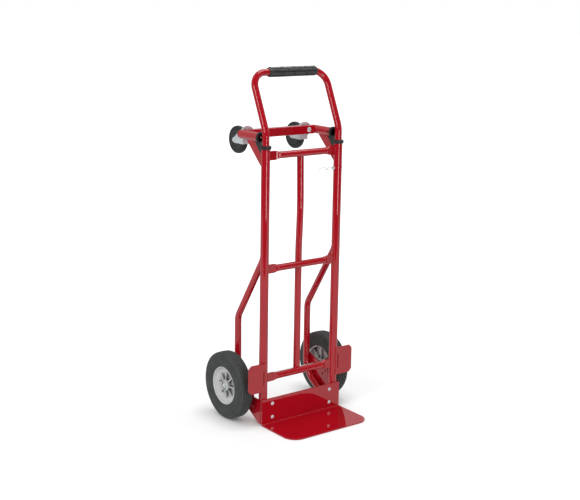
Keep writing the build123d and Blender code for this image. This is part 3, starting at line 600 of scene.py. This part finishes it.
def make_hub(hand, side):
    """A moulded hub as one closed skin; its columns follow the edges of the ribs."""
    node = f"wheel_hub_{hand}"
    centre = box_middle(f"tyre_{hand}")
    sector = 2 * math.pi / HUB_RIBS
    rows = []
    for radius, between, on_rib in HUB_ROWS:
        top, foot = RIB_HALF / radius, (RIB_HALF + RIB_EDGE) / radius
        columns = [(-top, 1.0), (top, 1.0)]
        for step in range(HUB_STEPS + 1):
            columns.append((foot + (sector - 2 * foot) * step / HUB_STEPS, 0.0))
        ring = []
        for rib in range(HUB_RIBS):
            for angle, share in columns:
                turn = rib * sector + angle
                along = between + (on_rib - between) * share
                offset = Vector((side * along, radius * math.sin(turn), radius * math.cos(turn)))
                ring.append(centre + offset * MM)
        rows.append(ring)
    bm = bmesh.new()
    skin_rows(bm, rows, closed_rows=True)
    finish_piece(f"wheel_hub_{hand}_moulded", bm, "hub_plastic", f"wheel_{hand}", [node], 42)


# ---------------------------------------------------------------- casters
CASTER_SEGMENTS = 112
CASTER_BORE_RADIUS = 4.06


def make_caster_wheel(hand, side):
    tyre, hub = f"caster_tyre_{hand}", f"caster_hub_{hand}"
    centre, size = box_middle(tyre), box_size(tyre)
    half, radius = size.x / 2, size.z / 2
    core = radius * 0.67
    outline = [(half - 0.6, core), (half, core + 2.4), (half, radius - 9), (half - 0.8, radius - 5.2),
               (half - 3.2, radius - 1.6), (half - 7.5, radius), (7.5 - half, radius),
               (3.2 - half, radius - 1.6), (0.8 - half, radius - 5.2), (-half, radius - 9),
               (-half, core + 2.4), (0.6 - half, core)]
    bm = bmesh.new()
    lathe(bm, rounded_outline(outline, 2.2, 3), centre, side, CASTER_SEGMENTS)
    body = f"caster_wheel_{hand}"
    finish_piece(f"caster_tyre_{hand}_moulded", bm, "caster_rubber", body, [tyre], 35)
    face = half + 1
    side_face = [(face, CASTER_BORE_RADIUS), (face, 9.0), (4.6, 11.0), (4.0, 15.0), (4.6, core - 7),
                 (half - 1.4, core - 3.6), (half - 0.7, core - 2.6), (half - 0.7, core - 0.05)]
    outline = side_face + [(-along, r) for along, r in reversed(side_face)]
    bm = bmesh.new()
    lathe(bm, rounded_outline(outline, 0.9, 2), centre, side, CASTER_SEGMENTS)
    finish_piece(f"caster_core_{hand}_moulded", bm, "caster_core", body, [hub], 35)


# ---------------------------------------------------------------- handle grip
GRIP_COLUMNS = 8
GRIP_SEGMENTS = 4
GRIP_BORE_RADIUS = 12.75
PAD_RISE = 3.0
PAD_SHARES = (0.0, 0.05, 0.11, 0.165, 0.30, 0.5, 0.70, 0.835, 0.89, 0.95)
PAD_STEPS = (0.0, 1.0, 1.9, 2.8, 4.2)


def pad_height(column_share, along, staggered, segment, length):
    """How far a grip pad stands up at a place, from 0 in a groove to 1 on top."""
    place = along + (segment / 2 if staggered else 0)
    to_seam = min(place % segment, segment - place % segment)
    to_side = min(column_share, 1 - column_share) * 14
    to_end = min(along, length - along)
    rise = smoothstep(to_seam, 1.0, 2.8) * smoothstep(to_side, 0.7, 2.3)
    return rise * smoothstep(to_end, 5.0, 6.6)


def make_grip():
    """A rubber sleeve with rows of raised pads, staggered from row to row."""
    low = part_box("handle_grip")[0]
    centre, size = box_middle("handle_grip"), box_size("handle_grip")
    length, radius = size.x, size.z / 2
    tube = GRIP_BORE_RADIUS
    segment = length / GRIP_SEGMENTS
    alongs = {5.0, 6.6, length - 5.0, length - 6.6}
    for half_seam in range(2 * GRIP_SEGMENTS + 1):
        seam = half_seam * segment / 2
        for step in PAD_STEPS:
            alongs |= {seam - step, seam + step}
    alongs = sorted(a for a in alongs if 4.0 <= a <= length - 4.0)
    base = radius - PAD_RISE

    def ring(along, base_radius, pads):
        points = []
        for column in range(GRIP_COLUMNS):
            for share in PAD_SHARES:
                turn = 2 * math.pi * (column + share) / GRIP_COLUMNS
                rise = pads * PAD_RISE * pad_height(share, along, column % 2, segment, length)
                r = base_radius + rise
                offset = Vector((along, -r * math.sin(turn), r * math.cos(turn)))
                points.append(Vector((low.x, centre.y, centre.z)) + offset * MM)
        return points

    start = [(3.4, tube), (3.4, tube + 1.8), (0.6, tube + 2.2), (0.0, tube + 2.8), (0.0, base - 0.6),
             (0.6, base), (3.0, base)]
    end = [(length - 3.0, base), (length - 1.4, base - 0.5), (length - 0.4, base - 1.6),
           (length, base - 3.0), (length, tube + 0.4), (length, tube)]
    rows = [ring(a, r, 0) for a, r in start]
    rows += [ring(a, base, 1) for a in alongs]
    rows += [ring(a, r, 0) for a, r in end]
    bm = bmesh.new()
    skin_rows(bm, rows, closed_rows=True)
    finish_piece("handle_grip_moulded", bm, "grip_rubber", "handle", ["handle_grip"], 50)


# ---------------------------------------------------------------- crossbars
BAR_POINTS = 64
BAR_PRESSED_HALF = 4.5
BAR_FLAT = 23.0
BAR_FLARE = 23.0
BAR_SUNK = 4.0
FLARE_STATIONS = (0.08, 0.18, 0.3, 0.42, 0.55, 0.68, 0.8, 0.9, 0.96, 1.0)


def make_crossbar(level):
    """A round tube whose ends are pressed flat between two wedges, which leaves creased facets."""
    node = f"crossbar_{level}"
    centre = box_middle(node)
    size = box_size(node)
    tall = size.z / 2
    inner_left, inner_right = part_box("rail_left")[1].x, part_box("rail_right")[0].x
    reach = (inner_right - inner_left) / 2 / MM
    radius = box_size("centre_bar").x / 2
    flat_start = reach - BAR_FLAT
    flare_start = flat_start - BAR_FLARE
    stations = [flare_start * t for t in (0, 0.5, 0.9, 1.0)]
    stations += [flare_start + BAR_FLARE * t for t in FLARE_STATIONS]
    stations += [flat_start + 1.2, flat_start + 4, flat_start + 14, reach + BAR_SUNK]
    stations = [-s for s in reversed(stations[1:])] + stations
    rows = []
    for station in stations:
        share = smoothstep(abs(station), flare_start, flat_start)
        clip = radius + (BAR_PRESSED_HALF - radius) * share
        height = radius + (tall - radius) * share
        ring = []
        for k in range(BAR_POINTS):
            turn = 2 * math.pi * k / BAR_POINTS
            depth = max(-clip, min(clip, radius * math.cos(turn)))
            ring.append(centre + Vector((station, depth, height * math.sin(turn))) * MM)
        rows.append(ring)
    bm = bmesh.new()
    grid = skin_rows(bm, rows)
    bm.faces.new(grid[0])
    bm.faces.new(reversed(grid[-1]))
    finish_piece(f"crossbar_{level}_pressed", bm, "red_paint", "frame", [node], 16)


# ---------------------------------------------------------------- welds
BEAD_SIDES = 8
BEAD_RIPPLE = 2.6
BEAD_STEP = 0.65
TUBE_TOP_RISE = 260.0
TUBE_KNEE_Z = 376.0
TUBE_FOOT_DROP = 99.6
TUBE_HEEL_Z = 98.6
BAR_HEAD_Y = 13.0
ARM_END_ROUND = 4.0
THIN_BEAD = 1.5
PLATE_BEAD = 1.6
BAR_BEAD = 1.7
FOOT_BEAD = 1.8
TUBE_BEAD = 2.0
FLOOR_CLEAR = 2.0
GUSSET_FOOT_RUN = (2, 52)
GUSSET_ARM_RUN = (42, 3)
AXLE_PLATE_RUN = (24, 88)
SIDE_TUBE_RUN = (120, 160)
GUARD_RUNS = ((8, 38), (70, 102))
BRACKET_MARGIN = 4.0


def resampled(points, step, closed):
    """Points at even distances along a polyline."""
    points = [Vector(p) for p in points]
    if closed:
        points.append(points[0])
    marks = [0.0]
    for here, there in zip(points, points[1:]):
        marks.append(marks[-1] + (there - here).length)
    count = max(4, round(marks[-1] / step))
    placed, at = [], 0
    for k in range(count if closed else count + 1):
        goal = marks[-1] * k / count
        while at < len(marks) - 2 and marks[at + 1] < goal:
            at += 1
        share = (goal - marks[at]) / max(1e-9, marks[at + 1] - marks[at])
        placed.append(points[at].lerp(points[at + 1], share))
    return placed


def add_bead(bm, points, radius, closed):
    """A rippled weld bead along a joint; points are in metres and the radius in millimetres."""
    path = resampled(points, BEAD_STEP * MM, closed)
    count = len(path)
    rows = []
    for k, here in enumerate(path):
        before = path[k - 1] if closed or k else here
        after = path[(k + 1) % count] if closed or k < count - 1 else here
        along = (after - before).normalized()
        side = along.orthogonal() if not rows else side - along * side.dot(along)
        side.normalize()
        up = along.cross(side)
        to_end = count if closed else min(k, count - 1 - k)
        swell = min(1.0, 0.45 + to_end * 0.2)
        ripple = 1 + 0.13 * math.cos(2 * math.pi * k * BEAD_STEP / BEAD_RIPPLE)
        wander = 1 + 0.09 * math.sin(k * 0.31) + 0.06 * math.sin(k * 0.83 + 1)
        size = radius * MM * swell * ripple * wander
        rows.append([here + (side * math.cos(a) + up * math.sin(a)) * size
                     for a in (2 * math.pi * n / BEAD_SIDES for n in range(BEAD_SIDES))])
    grid = skin_rows(bm, rows, closed_rows=closed)
    if not closed:
        bm.faces.new(reversed(grid[0]))
        bm.faces.new(grid[-1])


def rail_seam(side, start, toward, half_deep, half_tall, turns):
    """The seam where an oval tube that runs towards a rail meets it; sizes are in metres."""
    rail = box_middle(f"rail_{hand_of(side)}")
    radius = box_size(f"rail_{hand_of(side)}").x / 2 * MM
    toward = Vector(toward).normalized()
    across = toward.cross(Vector((0, 0, 1))).normalized()
    up = across.cross(toward)
    points = []
    for turn in turns:
        p = Vector(start) + across * half_deep * math.cos(turn) + up * half_tall * math.sin(turn)
        off = Vector((p.x - rail.x, p.y - rail.y))
        run = Vector((toward.x, toward.y))
        a, b, c = run.dot(run), 2 * off.dot(run), off.dot(off) - radius * radius
        root = b * b - 4 * a * c
        if root > 0:
            points.append(p + toward * ((-b - math.sqrt(root)) / (2 * a)))
    return points


def hand_of(side):
    return "left" if side < 0 else "right"


def full_turn(steps=48):
    return [2 * math.pi * k / steps for k in range(steps)]


def weld_piece(name, beads):
    bm = bmesh.new()
    for points, radius, closed in beads:
        add_bead(bm, points, radius, closed)
    finish_piece(name, bm, "red_paint", "frame", (), 80)


def crossbar_welds(level):
    middle, size = box_middle(f"crossbar_{level}"), box_size(f"crossbar_{level}")
    beads = []
    for side in SIDES.values():
        seam = rail_seam(side, middle, (side, 0, 0), BAR_PRESSED_HALF * MM, size.z / 2 * MM, full_turn())
        beads.append((seam, BAR_BEAD, True))
    weld_piece(f"weld_crossbar_{level}", beads)


def side_tube_welds(hand, side):
    """The seams at the top and the foot of a bent rear tube."""
    rail = box_middle(f"rail_{hand}")
    radius = box_size(f"side_tube_{hand}").x / 2 * MM
    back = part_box(f"side_tube_{hand}")[1].y - radius
    slope_top = Vector((0, rail.y - back, TUBE_TOP_RISE * MM))
    start_top = Vector((rail.x, back, TUBE_KNEE_Z * MM))
    slope_foot = Vector((0, rail.y - back, -TUBE_FOOT_DROP * MM))
    start_foot = Vector((rail.x, back, TUBE_HEEL_Z * MM))
    top = rail_seam(side, start_top, slope_top, radius, radius, full_turn())
    foot = rail_seam(side, start_foot, slope_foot, radius, radius, full_turn())
    foot = [p for p in foot if p.z > FLOOR_CLEAR * MM]
    beads = [(top, TUBE_BEAD, True), (foot_in_order(foot), FOOT_BEAD, False)]
    weld_piece(f"weld_side_tube_{hand}", beads)


def foot_in_order(points):
    """Starts an open seam at its gap, so that it doesn't cross it."""
    gaps = [(points[k] - points[k - 1]).length for k in range(len(points))]
    start = gaps.index(max(gaps))
    return points[start:] + points[:start]


def arm_welds(hand, side):
    """The seam where the coped caster beam meets a socket's arm, and the gusset's two edges."""
    arm, size = box_middle(f"socket_arm_{hand}"), box_size(f"socket_arm_{hand}")
    beam_low, beam_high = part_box("caster_beam")
    beam_end = beam_high.x if side > 0 else beam_low.x
    radius = size.z / 2 * MM
    spread = math.acos(abs(arm.x - beam_end) / radius)
    turns = [spread * (k / 8 - 1) for k in range(17)]
    front, rear = ([Vector((arm.x - side * radius * math.cos(a), y, arm.z + radius * math.sin(a)))
                    for a in turns] for y in (beam_low.y, beam_high.y - ARM_END_ROUND * MM))
    plate_low, plate_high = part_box(f"gusset_{hand}")
    rail_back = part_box(f"rail_{hand}")[1].y
    beads = [(front + rear[::-1], TUBE_BEAD, True)]
    for x in (plate_low.x, plate_high.x):
        offset = x - arm.x
        under = arm.z - math.sqrt(radius * radius - offset * offset)
        foot = [Vector((x, rail_back - 0.3 * MM, plate_low.z + up * MM)) for up in GUSSET_FOOT_RUN]
        head = [Vector((x, plate_high.y - back * MM, under)) for back in GUSSET_ARM_RUN]
        beads += [(foot, THIN_BEAD, False), (head, THIN_BEAD, False)]
    weld_piece(f"weld_arm_{hand}", beads)


def foot_plate_welds(hand, side):
    """The short runs that hold the axle plate, the wheel guard and the toe bracket."""
    rail = box_middle(f"rail_{hand}")
    radius = box_size(f"rail_{hand}").x / 2 * MM
    plate_low, plate_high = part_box(f"axle_plate_{hand}")
    inner = plate_low.x if side > 0 else plate_high.x
    offset = inner - rail.x
    y = rail.y + math.sqrt(radius * radius - offset * offset)
    beads = [([Vector((inner, y, up * MM)) for up in AXLE_PLATE_RUN], PLATE_BEAD, False)]
    tube_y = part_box(f"side_tube_{hand}")[1].y - box_size(f"side_tube_{hand}").x / 2 * MM
    tube_x = rail.x + side * box_size(f"side_tube_{hand}").x / 2 * MM
    seam = [Vector((tube_x, tube_y - 5 * MM, up * MM)) for up in SIDE_TUBE_RUN]
    beads.append((seam, PLATE_BEAD, False))
    guard_low, guard_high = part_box(f"wheel_guard_{hand}")
    x = rail.x + side * 3.5 * MM
    for run in GUARD_RUNS:
        seam = [Vector((x, guard_high.y, guard_low.z + up * MM)) for up in run]
        beads.append((seam, THIN_BEAD, False))
    bracket_low, bracket_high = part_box(f"toe_bracket_{hand}")
    inner_x = rail.x - side * math.sqrt(radius ** 2 - (bracket_high.y - rail.y) ** 2)
    ends = (bracket_low.z + BRACKET_MARGIN * MM, bracket_high.z - BRACKET_MARGIN * MM)
    beads.append(([Vector((inner_x, bracket_high.y, z)) for z in ends], PLATE_BEAD, False))
    weld_piece(f"weld_foot_{hand}", beads)


def centre_bar_welds():
    """The saddle seams between the centre bar and the bottom and top crossbars."""
    low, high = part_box("centre_bar")
    radius = (high.x - low.x) / 2
    beads = []
    for level, up, bar_y in (("bottom", 1, high.y - radius), ("top", -1, BAR_HEAD_Y * MM + rail_plane())):
        cross = box_middle(f"crossbar_{level}")
        seam = []
        for k in range(49):
            turn = math.pi * (k / 48) * 2
            y = bar_y - radius * math.cos(turn)
            reach = radius * radius - (y - cross.y) ** 2
            if reach > 0:
                point = Vector((cross.x + radius * math.sin(turn), y, cross.z + up * math.sqrt(reach)))
                seam.append(point)
        beads.append((foot_in_order(seam), BAR_BEAD, False))
    weld_piece("weld_centre_bar", beads)


def rail_plane():
    return box_middle("rail_left").y


# ---------------------------------------------------------------- the whole scene
make_camera()
make_view()
make_floor()
make_world()
make_lights()
paint_cad_nodes()
for hand, side in SIDES.items():
    make_tyre(hand, side)
    make_hub(hand, side)
    make_caster_wheel(hand, side)
for level in ("bottom", "middle", "top"):
    make_crossbar(level)
make_grip()
for node, width in EDGED_NODES.items():
    round_edges(node, width)
for level in ("bottom", "middle", "top"):
    crossbar_welds(level)
for hand, side in SIDES.items():
    side_tube_welds(hand, side)
    arm_welds(hand, side)
    foot_plate_welds(hand, side)
centre_bar_welds()
